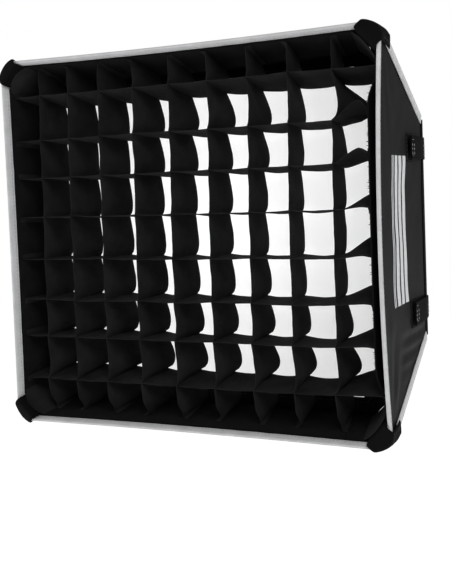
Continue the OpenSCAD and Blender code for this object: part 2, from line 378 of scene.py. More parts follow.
def stitched(line, outward, length=0.0028, gap=0.0013, radius=0.00028):
    """The points and faces of stitches along a line of points, each lying half in the cloth.

    outward is the way out of the cloth, the same all along or one for each point.
    """
    if isinstance(outward, Vector):
        outward = [outward] * len(line)
    run = lengths(line)
    points, faces = [], []
    sides = 5
    rings = ((0.0, 0.25), (0.2, 1.0), (0.8, 1.0), (1.0, 0.25))

    def at(distance):
        k = next(k for k in range(len(run) - 1) if run[k + 1] >= distance)
        t = (distance - run[k]) / (run[k + 1] - run[k])
        return line[k].lerp(line[k + 1], t), outward[k].lerp(outward[k + 1], t).normalized()

    for k in range(int(run[-1] / (length + gap))):
        start, up = at(k * (length + gap) + gap / 2)
        end, _ = at(k * (length + gap) + gap / 2 + length)
        side = (end - start).normalized().cross(up)
        first = len(points)
        for t, share in rings:
            middle = start.lerp(end, t) + up * radius * (0.9 * share - 0.4)
            for turn in circle(sides):
                points.append(middle + (up * cos(turn) + side * sin(turn)) * radius * share)
        for base in range(first, len(points) - sides, sides):
            for j in range(sides):
                q = (j + 1) % sides
                faces.append((base + j, base + q, base + sides + q, base + sides + j))
        faces.append(tuple(reversed(range(first, first + sides))))
        faces.append(tuple(range(len(points) - sides, len(points))))
    return points, faces


def sew(name, line, outward, thread, body="shell", slot="webbing", **sizes):
    """A run of stitches that rides on a body."""
    put(build(name, *stitched(line, outward, **sizes), [thread]), body, slot)


def put(piece, body, slot, *nodes):
    """Rides a piece on a body and hides the CAD nodes that it stands for; slot is not used."""
    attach(piece, body)
    if nodes:
        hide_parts(*nodes)
    return piece


def sew_across(name, wall, s, level, reach, thread, slot):
    """A row of stitches across a wall, on the face of the cloth that the level is on."""
    sew(name, wall.line(s, level, reach), -wall.inn if level <= 0 else wall.inn, thread, slot=slot)


# ---- materials


class Shader:
    """A node material under construction."""

    def __init__(self, name, color, roughness, specular=0.25):
        self.material = bpy.data.materials.new(name)
        self.material.use_nodes = True
        self.tree = self.material.node_tree
        self.shader = self.tree.nodes["Principled BSDF"]
        self.set("Base Color", (*color, 1))
        self.set("Roughness", roughness)
        self.set("Specular IOR Level", specular)
        self.uv = self.node("ShaderNodeUVMap")
        self.uv.uv_map = "cloth"
        self.place = self.node("ShaderNodeTexCoord").outputs["Object"]
        self.height = None

    def node(self, kind, **values):
        """A new node, with values for its sockets."""
        made = self.tree.nodes.new(kind)
        for key, value in values.items():
            made.inputs[key].default_value = value
        return made

    def set(self, socket, value):
        self.shader.inputs[socket].default_value = value

    def link(self, source, target):
        self.tree.links.new(source, target)

    def noise(self, scale, detail=4, roughness=0.6):
        made = self.node("ShaderNodeTexNoise", Scale=scale, Detail=detail, Roughness=roughness)
        self.link(self.place, made.inputs["Vector"])
        return made.outputs["Fac"]

    def wave(self, pitch, direction, distortion=0.6):
        """Ribs of a given pitch along one cloth direction, X or Y."""
        made = self.node("ShaderNodeTexWave", Scale=2 * pi / pitch / 20, Distortion=distortion, Detail=1)
        made.bands_direction = direction
        self.link(self.uv.outputs["UV"], made.inputs["Vector"])
        return made.outputs["Fac"]

    def math(self, operation, first, second):
        made = self.node("ShaderNodeMath")
        made.operation = operation
        for socket, value in zip(made.inputs, (first, second)):
            if isinstance(value, (int, float)):
                socket.default_value = value
            else:
                self.link(value, socket)
        return made.outputs[0]

    def mixed(self, first, share, second):
        """A share of the first pattern and the rest of the second."""
        return self.math("ADD", self.math("MULTIPLY", first, share), self.math("MULTIPLY", second, 1 - share))

    def color(self, factor, low, high, start=0.3, end=0.7):
        """Base colours from low to high as the factor rises."""
        made = self.node("ShaderNodeValToRGB")
        for element, position, tone in zip(made.color_ramp.elements, (start, end), (low, high)):
            element.position = position
            element.color = (*tone, 1)
        self.link(factor, made.inputs["Fac"])
        self.link(made.outputs["Color"], self.shader.inputs["Base Color"])

    def map(self, factor, low, high, socket):
        """Sets a socket from low to high as the factor rises."""
        made = self.node("ShaderNodeMapRange", **{"To Min": low, "To Max": high})
        self.link(factor, made.inputs["Value"])
        self.link(made.outputs["Result"], self.shader.inputs[socket])

    def bump(self, height, strength, distance):
        made = self.node("ShaderNodeBump", Strength=strength, Distance=distance)
        self.link(height, made.inputs["Height"])
        if self.height:
            self.link(self.height, made.inputs["Normal"])
        self.height = made.outputs["Normal"]
        self.link(self.height, self.shader.inputs["Normal"])

    def weave(self, pitch, strength, distance, distortion=0.5):
        """Threads crossing at right angles."""
        both = self.math("MAXIMUM", self.wave(pitch, "X", distortion), self.wave(pitch, "Y", distortion))
        self.bump(both, strength, distance)
        return both


def shell_material():
    """Coated nylon: black, close-woven, with a soft gloss that varies."""
    m = Shader("shell_black_nylon", (0.005, 0.005, 0.0055), 0.6, 0.05)
    threads = m.weave(0.0009, 0.25, 0.00012)
    blotches = m.noise(22, 5, 0.55)
    m.map(blotches, 0.5, 0.7, "Roughness")
    m.color(m.mixed(blotches, 0.7, threads), (0.003, 0.003, 0.0034), (0.0085, 0.0085, 0.009))
    m.bump(m.noise(160, 3), 0.12, 0.0006)
    return m.material


def lining_material():
    """Silver lining: a crinkled metallic coating over a fine weave."""
    m = Shader("lining_silver", (0.72, 0.73, 0.74), 0.36, 0.5)
    m.set("Metallic", 0.85)
    threads = m.weave(0.0011, 0.3, 0.0001)
    crinkle = m.noise(240, 6, 0.7)
    m.bump(crinkle, 0.4, 0.0006)
    m.map(crinkle, 0.28, 0.5, "Roughness")
    m.color(threads, (0.6, 0.61, 0.62), (0.8, 0.81, 0.82))
    return m.material


def tape_material():
    """Silver-grey grosgrain: fine ribs square to the tape, with a little soiling."""
    m = Shader("tape_silver_grosgrain", (0.42, 0.43, 0.45), 0.72, 0.3)
    ribs = m.wave(0.0011, "Y", 0.4)
    m.bump(ribs, 0.5, 0.00018)
    grime = m.noise(70, 5, 0.6)
    m.color(m.mixed(ribs, 0.35, grime), (0.36, 0.362, 0.367), (0.52, 0.523, 0.53), 0.25, 0.75)
    m.set("Sheen Weight", 0.05)
    return m.material


def webbing_material():
    """Black webbing: a coarse, speckled weave."""
    m = Shader("webbing_black", (0.003, 0.003, 0.0033), 0.8, 0.03)
    threads = m.weave(0.0016, 0.9, 0.0003, 0.9)
    specks = m.noise(900, 2, 0.5)
    m.color(m.mixed(threads, 0.6, specks), (0.0008, 0.0008, 0.0009), (0.0055, 0.0055, 0.0058), 0.35, 0.8)
    return m.material


def pile_material(name, low, high):
    """Loop or hook tape: a dull, tufted face."""
    m = Shader(name, low, 0.95, 0.04)
    tufts = m.noise(1100, 3, 0.75)
    drift = m.noise(60, 3)
    m.bump(tufts, 0.9, 0.0005)
    m.color(m.mixed(tufts, 0.6, drift), low, high)
    return m.material


def grid_material():
    """Soft black cloth of the grid: matt, slightly brushed, with faint creases."""
    m = Shader("grid_black_cloth", (0.006, 0.006, 0.0065), 0.9, 0.03)
    threads = m.weave(0.0008, 0.35, 0.00012, 0.7)
    mottle = m.noise(45, 5, 0.6)
    m.bump(m.noise(130, 2, 0.5), 0.25, 0.0012)
    m.color(m.mixed(mottle, 0.75, threads), (0.005, 0.005, 0.0054), (0.0145, 0.0145, 0.0155))
    m.set("Sheen Weight", 0.008)
    return m.material


def diffuser_painted_glow_material():
    """White diffusion cloth that passes light, with a painted glow: it emits light of its own, a little
    uneven, as if lit from behind.
    """
    m = Shader("diffuser_white_cloth", (0.7, 0.7, 0.695), 0.8, 0.15)
    threads = m.weave(0.0007, 0.2, 0.0001)
    m.color(threads, (0.66, 0.66, 0.655), (0.74, 0.74, 0.735))
    # Painted glow: emission on the cloth stands in for light from behind it, slightly uneven across the cloth
    m.set("Emission Color", (1, 1, 0.995, 1))
    m.map(m.noise(9, 2), 0.76, 0.84, "Emission Strength")
    glow = m.node("ShaderNodeBsdfTranslucent", Color=(0.72, 0.72, 0.715, 1))
    mix = m.node("ShaderNodeMixShader", Fac=0.5)
    m.link(m.shader.outputs["BSDF"], mix.inputs[1])
    m.link(glow.outputs["BSDF"], mix.inputs[2])
    m.link(mix.outputs["Shader"], m.tree.nodes["Material Output"].inputs["Surface"])
    return m.material


def rod_material():
    """Drawn glass-fibre rod: grey, with long faint streaks."""
    m = Shader("rod_grey_fibre", (0.2, 0.2, 0.21), 0.38, 0.5)
    streaks = m.wave(0.0006, "X", 3.0)
    m.color(m.mixed(streaks, 0.5, m.noise(500, 3)), (0.13, 0.13, 0.14), (0.27, 0.27, 0.28))
    m.bump(streaks, 0.15, 0.0001)
    return m.material


def plastic_material():
    """Moulded black caps, worn at the ends."""
    m = Shader("cap_black_plastic", (0.012, 0.012, 0.013), 0.45, 0.45)
    scuffs = m.noise(400, 5, 0.7)
    m.map(scuffs, 0.35, 0.6, "Roughness")
    m.color(scuffs, (0.008, 0.008, 0.009), (0.025, 0.025, 0.027))
    m.bump(scuffs, 0.2, 0.0002)
    return m.material


def thread_material(name, low, high):
    """Twisted sewing thread."""
    m = Shader(name, low, 0.65, 0.35)
    twist = m.noise(2500, 2)
    m.color(twist, low, high)
    m.bump(twist, 0.5, 0.0002)
    return m.material


def ink_material():
    """Plain light-grey print, slightly broken by the weave under it."""
    m = Shader("print_grey_ink", (0.55, 0.56, 0.57), 0.6, 0.3)
    m.weave(0.0009, 0.3, 0.0001)
    m.color(m.noise(300, 4, 0.7), (0.42, 0.43, 0.44), (0.62, 0.63, 0.64))
    return m.material


SHELL = shell_material()
LINING = lining_material()
SILVER = tape_material()
BLACK_WEBBING = webbing_material()
LOOP_PILE = pile_material("loop_tape_black", (0.002, 0.002, 0.0022), (0.007, 0.007, 0.0075))
HOOK_PILE = pile_material("hook_tape_black", (0.003, 0.003, 0.0033), (0.009, 0.009, 0.0095))
GRID = grid_material()
WHITE_WITH_PAINTED_GLOW = diffuser_painted_glow_material()
# The diffuser cloth's material, with its painted glow (emission)
ROD = rod_material()
PLASTIC = plastic_material()
GREY_THREAD = thread_material("thread_grey", (0.2, 0.205, 0.215), (0.32, 0.325, 0.335))
BLACK_THREAD = thread_material("thread_black", (0.006, 0.006, 0.0065), (0.016, 0.016, 0.017))
INK = ink_material()


# ---- shell panels and their edges


def shell_panel(wall):
    """One trapezoid of black cloth, silver on the inside, cut back under the corner pockets."""
    front_reach = wall.half(0) - PANEL_INSET

    def place(v, u, level):
        start = FOLD + 1.15 * max(0.0, abs(u) * front_reach - (front_reach - 0.015))
        s = start * (1 - v) + (wall.slant - FOLD) * v
        return wall.point(s, u * (wall.half(s) - PANEL_INSET), level)

    piece = layered("panel_" + wall.name, spread(0, 1, 46), spread(-1, 1, 84), (0.0, CLOTH), place,
                    SHELL, LINING)
    put(piece, "shell", "shell_cloth", "shell_" + wall.name)
    area = wall.slant * (wall.half(0) + wall.half(wall.slant))
    2 * wall.half(0)


def folded_tape(wall, name, edge, direction, width, reach, steps, material):
    """Tape folded over an edge of the cloth: edge is its fold's s, direction the way it lies."""
    nose = CLOTH / 2 + TAPE
    gap = 0.00003
    rings = []
    for k, a in enumerate(spread(-reach, reach, steps)):
        ragged = 0.0005 * uneven(a * 60, edge * 50, 2.0 + direction)
        swell = 0.0002 + 0.00012 * sin(k * 2.3)
        outline = [(width + ragged, -TAPE), (width * 0.6, -TAPE - swell), (width * 0.35, -TAPE - 0.0001)]
        for turn in spread(-90, -270, 8):
            angle = radians(turn)
            outline.append((nose + nose * cos(angle), CLOTH / 2 + nose * sin(angle)))
        outline += [(width * 0.35, CLOTH + TAPE + 0.0001), (width * 0.6, CLOTH + TAPE + swell)]
        outline += [(width - ragged, CLOTH + TAPE), (width - ragged, CLOTH + gap)]
        outline += [(FOLD, CLOTH + gap), (FOLD, -gap), (width + ragged, -gap)]
        rings.append([wall.point(edge + direction * x, a, n) for x, n in outline])
    piece = swept(name, rings, material)
    return piece


def sew_tape(name, wall, s, reach, thread, slot):
    """A row of stitches through a folded tape, seen outside and inside."""
    for side, level in (("outside", -TAPE - 0.0002), ("inside", CLOTH + TAPE + 0.0002)):
        sew_across(f"{name}_{wall.name}_{side}", wall, s, level, reach - 0.004, thread, slot)


def binding(wall):
    """Silver tape round one edge of the mouth."""
    reach = wall.half(0) - BINDING_END
    piece = folded_tape(wall, "binding_tape_" + wall.name, 0.0, 1, BINDING_W, reach, 110, SILVER)
    put(piece, "shell", "silver_tape", "binding_" + wall.name)
    sew_tape("binding_stitches", wall, BINDING_W * 0.72, reach, GREY_THREAD, "silver_tape")


# ---- corner seams


def seam_tape(seam):
    """Silver tape folded over the outside of a corner seam."""
    lie = Vector((cos(seam.half_fold), sin(seam.half_fold)))
    out = Vector((-sin(seam.half_fold), cos(seam.half_fold)))
    rings = []
    for z in spread(SEAM_FROM, seam.length - HEM_W, 70):
        wander = 0.0006 * uneven(z * 30, 4.0, seam.start.x)
        layers = []
        for level in (0.00006, TAPE + ROOM):
            layer = []
            for t in (-1.0, -0.8, -0.55, -0.25, -0.08, 0.08, 0.25, 0.55, 0.8, 1.0):
                flank = -1 if t < 0 else 1
                reach = abs(t) * (SEAM_ARM + flank * wander) + 0.0001
                spot = lie * reach + out * (level + 0.0002 * (1 - abs(t)))
                layer.append(seam.point(spot.x - 0.0004 * (1 - abs(t)), spot.y * flank, z))
            layers.append(layer)
        rings.append(layers[0] + layers[1][::-1])
    piece = swept("seam_tape_" + seam.name, rings, SILVER)
    put(piece, "shell", "silver_tape", "seam_" + seam.name)
    spot = lie * (SEAM_ARM * 0.72) + out * (TAPE + ROOM)
    for flank_name, flank in (("far", -1), ("near", 1)):
        line = seam.line(spot.x, spot.y * flank, 0.041, seam.length - 0.014, 50)
        away = seam.mirrored(seam.x * out.x + seam.y * out.y * flank)
        sew(f"seam_stitches_{seam.name}_{flank_name}", line, away, GREY_THREAD, slot="silver_tape")


def rod_sleeve(seam):
    """The black cloth sleeve that the rod runs in, on its web from the seam."""
    start, end = SLEEVE_FROM, seam.length - 0.015
    outer, inner = [], []
    for z in spread(start, end, 60):
        lump = 1 + 0.05 * uneven(z * 45, 8.0, seam.start.z)
        outer.append(seam.ring(SLEEVE_R * lump, z, 20))
        inner.append(seam.ring(SLEEVE_R - SLEEVE_T, z, 20))
    piece = swept("rod_sleeve_" + seam.name, outer + inner[::-1] + [outer[0]], BLACK_WEBBING, caps=False)
    put(piece, "shell", "webbing", "seam_" + seam.name)

    def place(x, z, level):
        return seam.point(x, 0.0003 * sin(z * 260) + level, z)

    web = layered("sleeve_web_" + seam.name, spread(0.0008, ROD_IN - SLEEVE_R + 0.0003, 6),
                  spread(start, end, 60), (0.0, SLEEVE_T), place, BLACK_WEBBING)
    put(web, "shell", "webbing")
    line = seam.line(ROD_IN - SLEEVE_R - 0.001, 0.0012, start + 0.003, end - 0.003, 40)
    sew("sleeve_stitches_" + seam.name, line, seam.mirrored(seam.y), GREY_THREAD)


POCKET_PATH = (
    # x into the box, z along the seam, and how far the webbing is wrapped round the corner
    (-0.0027, 0.0385, 1.0), (-0.0023, 0.0325, 0.99), (-0.0014, 0.026, 0.95), (0.0004, 0.0195, 0.86),
    (0.0031, 0.0138, 0.62), (0.0062, 0.0088, 0.3), (0.0088, 0.0056, 0.08), (0.0112, 0.0042, 0.0),
    (0.0150, 0.0040, 0.0), (0.0178, 0.0048, 0.0), (0.0190, 0.0068, 0.0), (0.0190, 0.0120, 0.0),
    (0.0190, 0.0195, 0.0),
)


def splined(path, steps):
    """A smooth curve through a path's points."""
    fine = []
    for p, q, r, t in zip([path[0]] + path, path, path[1:], path[2:] + [path[-1]]):
        for k in range(steps):
            f = k / steps
            fine.append(0.5 * ((2 * q) + (r - p) * f + (2 * p - 5 * q + 4 * r - t) * f * f
                               + (3 * q - p - 3 * r + t) * f ** 3))
    return fine + [path[-1]]


def pocket_point(seam, x, z, wrap, w):
    """A point of the pocket's webbing, w across it, as it bends from flat to the corner's fold."""
    spine = sqrt(w * w + 0.0016 ** 2) - 0.0016
    fall = cos(seam.half_fold) * wrap * spine
    bulge = 0.0055 * (1 - wrap) * smooth((0.0185 - x) / 0.006) * (1 - (2 * w / POCKET_W) ** 2)
    return seam.point(x + fall - bulge, w * (1 - wrap * (1 - sin(seam.half_fold))), z)


def pocket(seam):
    """Webbing folded over the tip of the rod: one leg on the seam outside, one inside."""
    path = splined([Vector(knot) for knot in POCKET_PATH], 3)
    layers = ([], [])
    for behind, here, ahead in zip([path[0]] + path, path, path[1:] + [path[-1]]):
        run = Vector((ahead.x - behind.x, ahead.y - behind.y)).normalized()
        normal = Vector((-run.y, run.x))
        for layer, offset in zip(layers, (-WEBBING / 2, WEBBING / 2)):
            row = []
            for w in spread(-POCKET_W / 2, POCKET_W / 2, 18):
                round_edge = 1 - 0.35 * smooth((abs(w) - POCKET_W / 2 + 0.0015) / 0.0015)
                shift = normal * offset * round_edge
                wrap = min(max(here.z, 0), 1)
                row.append(pocket_point(seam, here.x + shift.x, here.y + shift.y, wrap, w))
            layer.append(row)
    piece = closed_sheet("pocket_webbing_" + seam.name, *layers, BLACK_WEBBING)
    put(piece, "shell", "webbing", "pocket_" + seam.name)
    corner = seam.mirrored(seam.start)
    inside, outside = sorted(layers, key=lambda layer: (layer[0][9] - corner).length)
    along, across = range(1, 13), range(2, 17)
    rows = {"near": (along, [2]), "far": (along, [16]), "end": ([1], across), "waist": ([9], across)}
    for row_name, (rs, cs) in rows.items():
        line = [outside[r][c] for r in rs for c in cs]
        away = [(outside[r][c] - inside[r][c]).normalized() for r in rs for c in cs]
        sew(f"pocket_stitches_{seam.name}_{row_name}", line, away, BLACK_THREAD,
            length=0.0026, gap=0.001, radius=0.0003)


def spring_rod(seam):
    """A straight grey rod with a moulded cap on each end."""
    node = "rod_" + seam.name
    low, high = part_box(node)
    axis = seam.mirrored(seam.z)
    front = seam.point(ROD_IN, 0, 0)
    start = (low[1] - front.y) / axis.y
    end = (high[1] - front.y) / axis.y
    profile = [(start + 0.008, ROD_R - 0.0001), (start + 0.01, ROD_R),
               (end - 0.01, ROD_R), (end - 0.008, ROD_R - 0.0001)]
    put(lathe("rod_shaft_" + seam.name, profile, front, axis, ROD), node, "rod_steel", node)
    for cap_name, tip, way in (("front", start, 1), ("rear", end, -1)):
        profile = [(0.0004, 0.0006), (0.0008, 0.0014), (0.0017, 0.0021), (0.003, 0.00248), (0.0042, CAP_R)]
        for base in (0.0052, 0.0076, 0.01):
            profile += [(base, CAP_R), (base + 0.0003, CAP_R - 0.0003),
                        (base + 0.0009, CAP_R - 0.0003), (base + 0.0012, CAP_R)]
        profile += [(0.0142, CAP_R), (0.0146, CAP_R - 0.0003), (0.0146, ROD_R)]
        turned = [(tip + way * along, radius) for along, radius in profile]
        put(lathe(f"rod_cap_{seam.name}_{cap_name}", turned, front, axis, PLASTIC), node, "rod_steel")


# ---- rear hem, straps and print


def rear_hem(wall):
    """Tape folded over the rear edge of a panel."""
    reach = wall.half(wall.slant) - 0.0008
    piece = folded_tape(wall, "hem_tape_" + wall.name, wall.slant, -1, HEM_W, reach, 60, BLACK_WEBBING)
    put(piece, "shell", "webbing", "rear_hem")
    sew_tape("hem_stitches", wall, wall.slant - 0.009, reach, BLACK_THREAD, "webbing")


def hem_eye(seam):
    """The webbing eye that holds a rod's rear end in a corner of the hem, and its tab."""
    start, end = seam.length - 0.0125, seam.length + 0.0035
    outer, bevel, inner = 0.0049, 0.0006, BORE_R + 0.0003
    tube = []
    for z, radius in ((start, outer - 0.0005), (start + bevel, outer), (end - bevel, outer),
                      (end, outer - 0.0005), (end, inner), (start, inner), (start, outer - 0.0005)):
        tube.append(seam.ring(radius, z, 24))
    put(swept("hem_eye_" + seam.name, tube, BLACK_WEBBING, caps=False), "shell", "webbing", "rear_hem")

    def place(x, z, level):
        return seam.point(x, level, z)

    tab = layered("hem_tab_" + seam.name, spread(0.002, ROD_IN - 0.0043, 5),
                  spread(start + 0.001, end - 0.002, 6), (-0.0012, 0.0012), place, BLACK_WEBBING)
    put(tab, "shell", "webbing")


def strap(name, wall):
    """A webbing strap sewn to the hem, with a hook pad under its tip."""
    body = "strap_" + name
    low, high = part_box(body)
    a_mid, width = (low[wall.axis] + high[wall.axis]) / 2, high[wall.axis] - low[wall.axis]
    end = wall.slant - 0.001
    length = (high[1] - low[1]) / cos(wall.lean) - STRAP_T * tan(wall.lean)
    start = end - length
    taut = wall.pull(end, a_mid)
    under = -TAPE - ROOM
    over = under - STRAP_T

    def place(t, w, level):
        arch = 0.0011 * sin(pi * t) + 0.0004 * sin(7 * t + a_mid * 40)
        tip = 0.004 * (abs(2 * w) ** 4) * (1 - smooth(t * 12))
        thin = 0.0002 * smooth((abs(w) - 0.42) * 14) * (1 if level == over else -1)
        s = start + (end - start) * t + tip
        return wall.flat_point(s, a_mid + w * width, level - arch + thin + taut)

    rows, columns = 40, 12
    piece = layered("strap_webbing_" + name, spread(0, 1, rows), spread(-0.5, 0.5, columns), (over, under),
                    place, BLACK_WEBBING)
    put(piece, body, "webbing", body)
    across, root, tip = range(2, 11), range(35, 40), range(2, 8)
    sewn = {"root_back": ([39], across), "root_front": ([35], across),
            "tip_front": ([2], across), "tip_back": ([7], across),
            "root_one": (root, [2]), "tip_one": (tip, [2]), "root_two": (root, [10]), "tip_two": (tip, [10])}
    for row_name, (along, beside) in sewn.items():
        line = [place(r / rows, c / columns - 0.5, over) for r in along for c in beside]
        sew(f"strap_stitches_{name}_{row_name}", line, -wall.inn, GREY_THREAD, body)

    def pad_place(s, w, level):
        return wall.flat_point(s, a_mid + w * width, level + taut)

    pad = layered("strap_hook_pad_" + name, spread(start + 0.0025, start + 0.017, 8), spread(-0.42, 0.42, 8),
                  (under - 0.0003, -0.00025), pad_place, HOOK_PILE)
    put(pad, body, "webbing")
    loop_patch(name, wall, start + 0.01, a_mid)


def loop_patch(name, wall, s_mid, a_mid):
    """The square of loop tape that a strap's tip sticks to, sewn round its edge."""
    def place(s, a, level):
        return wall.point(s_mid + s, a_mid + a, level)

    square = spread(-PATCH_W / 2, PATCH_W / 2, 14)
    patch = layered("strap_loop_patch_" + name, square, square, (-0.0005, -0.00004), place, LOOP_PILE)
    put(patch, "shell", "webbing")
    inset = PATCH_W / 2 - 0.0012
    run = spread(-inset, inset, 8)
    edges = {"front": ([-inset], run), "near": (run, [-inset]), "far": (run, [inset]), "back": ([inset], run)}
    for edge_name, (along, beside) in edges.items():
        line = [place(s, a, -0.0006) for s in along for a in beside]
        sew(f"patch_stitches_{name}_{edge_name}", line, -wall.inn, BLACK_THREAD)


def print_marks():
    """Plain printed lines along the right panel."""
    lines = (("fine", 0.068, 0.071), ("thin", 0.0745, 0.0775),
             ("first", 0.085, 0.099), ("second", 0.1055, 0.1195), ("third", 0.126, 0.14))
    for name, s_from, s_to in lines:
        ink = layered("print_line_" + name, spread(s_from, s_to, 6), spread(-0.069, 0.0745, 60),
                      (-0.00018, -0.00004), walls["right"].point, INK)
        put(ink, "shell", "shell_cloth")


# ---- bands inside the mouth


def band_inset(wall):
    """How far the bands' ends stop short of the seams: the soft ends tuck in close to the pockets."""
    low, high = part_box("loop_band_" + wall.name)
    return wall.half(wall.slope_at(low.y, LOOP_LEVEL)) - high[wall.axis] - 0.006


BAND_INSETS = {name: band_inset(wall) for name, wall in walls.items()}
GRID_BANDS = {name: wall.slopes("grid_band_" + name, HOOK_LEVEL) for name, wall in walls.items()}


def grid_lift(wall, s, a):
    """The grid's tape has let go of the right wall along its front edge."""
    if wall.name != "right":
        return 0.0
    s_from, s_to = GRID_BANDS["right"]
    loose = (0.006 + 0.0015 * (a / 0.12) ** 2) * (1 - smooth((abs(a) - 0.12) / 0.03))
    return loose * (1 - smooth((s - s_from) / (s_to - s_from))) ** 1.3


def band_point(wall, s, a, n):
    """A point of the grid's band, which lies on its wall except where it has let go."""
    return wall.point(s, a, n + grid_lift(wall, s, a))


def band(wall, name, body, node, ends, level, thick, material, place=Wall.point):
    """A strip of tape on the inside of a wall, between the two s of its ends."""
    inset = BAND_INSETS[wall.name]

    def spot(s, u, n):
        return place(wall, s, u * (wall.half(s) - inset), n)

    piece = layered(name, spread(*ends, 12), spread(-1, 1, 70), (level, level + thick), spot, material)
    2 * (wall.half(ends[0]) - inset)
    put(piece, body, "loop_tape", node)


def loop_band(wall):
    """The loop tape sewn to a wall, which the grid and the diffuser stick to."""
    node = "loop_band_" + wall.name
    s_from, s_to = ends = wall.slopes(node, LOOP_LEVEL)
    band(wall, "loop_tape_" + wall.name, "shell", node, ends, LOOP_LEVEL, LOOP, LOOP_PILE)
    for row_name, s in (("front", s_from + 0.0025), ("back", s_to - 0.0025)):
        reach = wall.half(s) - BAND_INSETS[wall.name] - 0.002
        sew_across(f"loop_stitches_{wall.name}_{row_name}", wall, s, LOOP_LEVEL + LOOP, reach, BLACK_THREAD,
                   "loop_tape")


def grid_band(wall):
    """The hook tape round the grid, with the tufts of its cut edge."""
    s_from, s_to = ends = GRID_BANDS[wall.name]
    band(wall, "grid_tape_" + wall.name, "grid", "grid_band_" + wall.name, ends, HOOK_LEVEL, HOOK, HOOK_PILE,
         band_point)
    points, faces = [], []
    reach = wall.half(s_from) - BAND_INSETS[wall.name]
    wide = 0.0007
    for k, a in enumerate(spread(-reach, reach, 190)):
        for edge, way in ((s_from, -1), (s_to, 1)):
            tall = 0.0004 + 0.0016 * abs(uneven(a * 300, edge * 90, k * 0.37))
            deep = HOOK_LEVEL + HOOK + 0.0042 * abs(uneven(a * 210, 3.0, k * 0.61))
            p = len(points)
            points += [band_point(wall, edge, a - wide, HOOK_LEVEL + 0.0001),
                       band_point(wall, edge, a + wide, HOOK_LEVEL + 0.0001),
                       band_point(wall, edge, a, HOOK_LEVEL + HOOK),
                       band_point(wall, edge + way * tall, a + wide * 0.4, deep)]
            faces += [(p, p + 1, p + 3), (p + 1, p + 2, p + 3), (p + 2, p, p + 3)]
    put(build("grid_tape_tufts_" + wall.name, points, faces, [HOOK_PILE]), "grid", "loop_tape")


def grid_corner(seam):
    """Cloth that carries the grid's edge round a corner, inside the pocket."""
    front = 0.0115
    back = (BORDER_LOW.y - 0.0015 - MOUTH_Y) / seam.z.y
    rows = []
    for t in spread(0, 1, 16):
        ends = []
        for wall, sign in ((seam.side, seam.signs[1]), (seam.end, seam.signs[0])):
            s_from, s_to = GRID_BANDS[wall.name]
            s = s_from + (s_to - s_from) * t
            ends.append(band_point(wall, s, sign * (wall.half(s) - BAND_INSETS[wall.name] - 0.004), SKIN))
        middle = seam.point(CORNER_WEB, 0, front + (back - front) * t)
        pull = middle * 2 - (ends[0] + ends[1]) / 2
        row = []
        for u in spread(0, 1, 24):
            p = ends[0] * (1 - u) ** 2 + pull * 2 * u * (1 - u) + ends[1] * u ** 2
            crease = 0.0006 * noise.noise(p * 40) * sin(pi * u)
            row.append(p - seam.mirrored(seam.x) * crease)
        rows.append(row)
    piece = padded_sheet("grid_corner_cloth_" + seam.name, rows, STRIP, GRID)
    lengths(rows[8])[-1]
    lengths([row[12] for row in rows])[-1]
    put(piece, "grid", "grid_cloth", "grid_corner_" + seam.name)


# ---- diffuser


DIFFUSER_LOW, DIFFUSER_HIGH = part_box("diffuser_cloth")
BORDER_LOW, BORDER_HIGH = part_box("diffuser_border")
BORDER_FRONT, BORDER_BACK = BORDER_LOW[1] + 0.0002, BORDER_LOW[1] + 0.0012
BORDER_X = walls["right"].reach(BORDER_BACK) - 0.0027
BORDER_Z = walls["top"].reach(BORDER_BACK) - 0.0027

# How much of each corner is cut off
CUT = 0.024

# The border shows widest along the bottom, where the cloth is drawn up
BORDER_SIDE, BORDER_TOP, BORDER_BOTTOM = 0.012, 0.0118, 0.0162


def diffuser_y(x, z):
    """The diffuser's place front to back: drawn flat at its border, a little slack inside."""
    u, v = x / DIFFUSER_HIGH[0], z / DIFFUSER_HIGH[2]
    slack = max(0.0, (1 - u * u) * (1 - v * v))
    ripple = uneven(x * 9, 0, z * 9) + 0.4 * uneven(x * 30, 5, z * 30)
    middle = (DIFFUSER_LOW[1] + DIFFUSER_HIGH[1]) / 2
    return middle + slack * 0.003 + 0.0008 * ripple * smooth(slack * 4)


def diffuser_cloth():
    """White cloth, a rectangle with cut corners."""
    half_x, half_z = DIFFUSER_HIGH[0], DIFFUSER_HIGH[2]
    columns = 55
    points, faces = [], []
    for u in spread(-1, 1, 64):
        x = u * half_x
        top = min(half_z, half_x + half_z - CUT - abs(x))
        points += [Vector((x, diffuser_y(x, v * top), v * top)) for v in spread(-1, 1, columns - 1)]
    for first in range(0, len(points) - columns, columns):
        for p in range(first, first + columns - 1):
            faces.append((p, p + columns, p + columns + 1, p + 1))
    # The cloth wears the white material with the painted glow
    cloth = build("diffusion_cloth", points, faces, [WHITE_WITH_PAINTED_GLOW], None, [(p.x, p.z) for p in points])
    put(cloth, "diffuser", "diffuser_white", "diffuser_cloth")


def border_outline(left, right, top, bottom):
    """A rectangle with cut corners, as points evenly spread along each of its sides."""
    ends = [(right - CUT, top), (left + CUT, top), (left, top - CUT), (left, bottom + CUT),
            (left + CUT, bottom), (right - CUT, bottom), (right, bottom + CUT), (right, top - CUT)]
    ring = []
    for (x1, z1), (x2, z2), count in zip(ends, ends[1:] + ends[:1], (40, 6, 34, 6) * 2):
        ring += [(x1 + (x2 - x1) * k / count, z1 + (z2 - z1) * k / count) for k in range(count)]
    return ring


def drawn_in(x, z):
    """A point of the border's outer edge, drawn in with the walls beside it."""
    side, end = walls["right" if x > 0 else "left"], walls["top" if z > 0 else "bottom"]
    in_x = side.pull(side.slope_at(BORDER_FRONT, LOOP_LEVEL), z) * smooth((abs(x) - BORDER_X) / CUT + 1)
    in_z = end.pull(end.slope_at(BORDER_FRONT, LOOP_LEVEL), x) * smooth((abs(z) - BORDER_Z) / CUT + 1)
    return x - copysign(in_x, x), z - copysign(in_z, z)


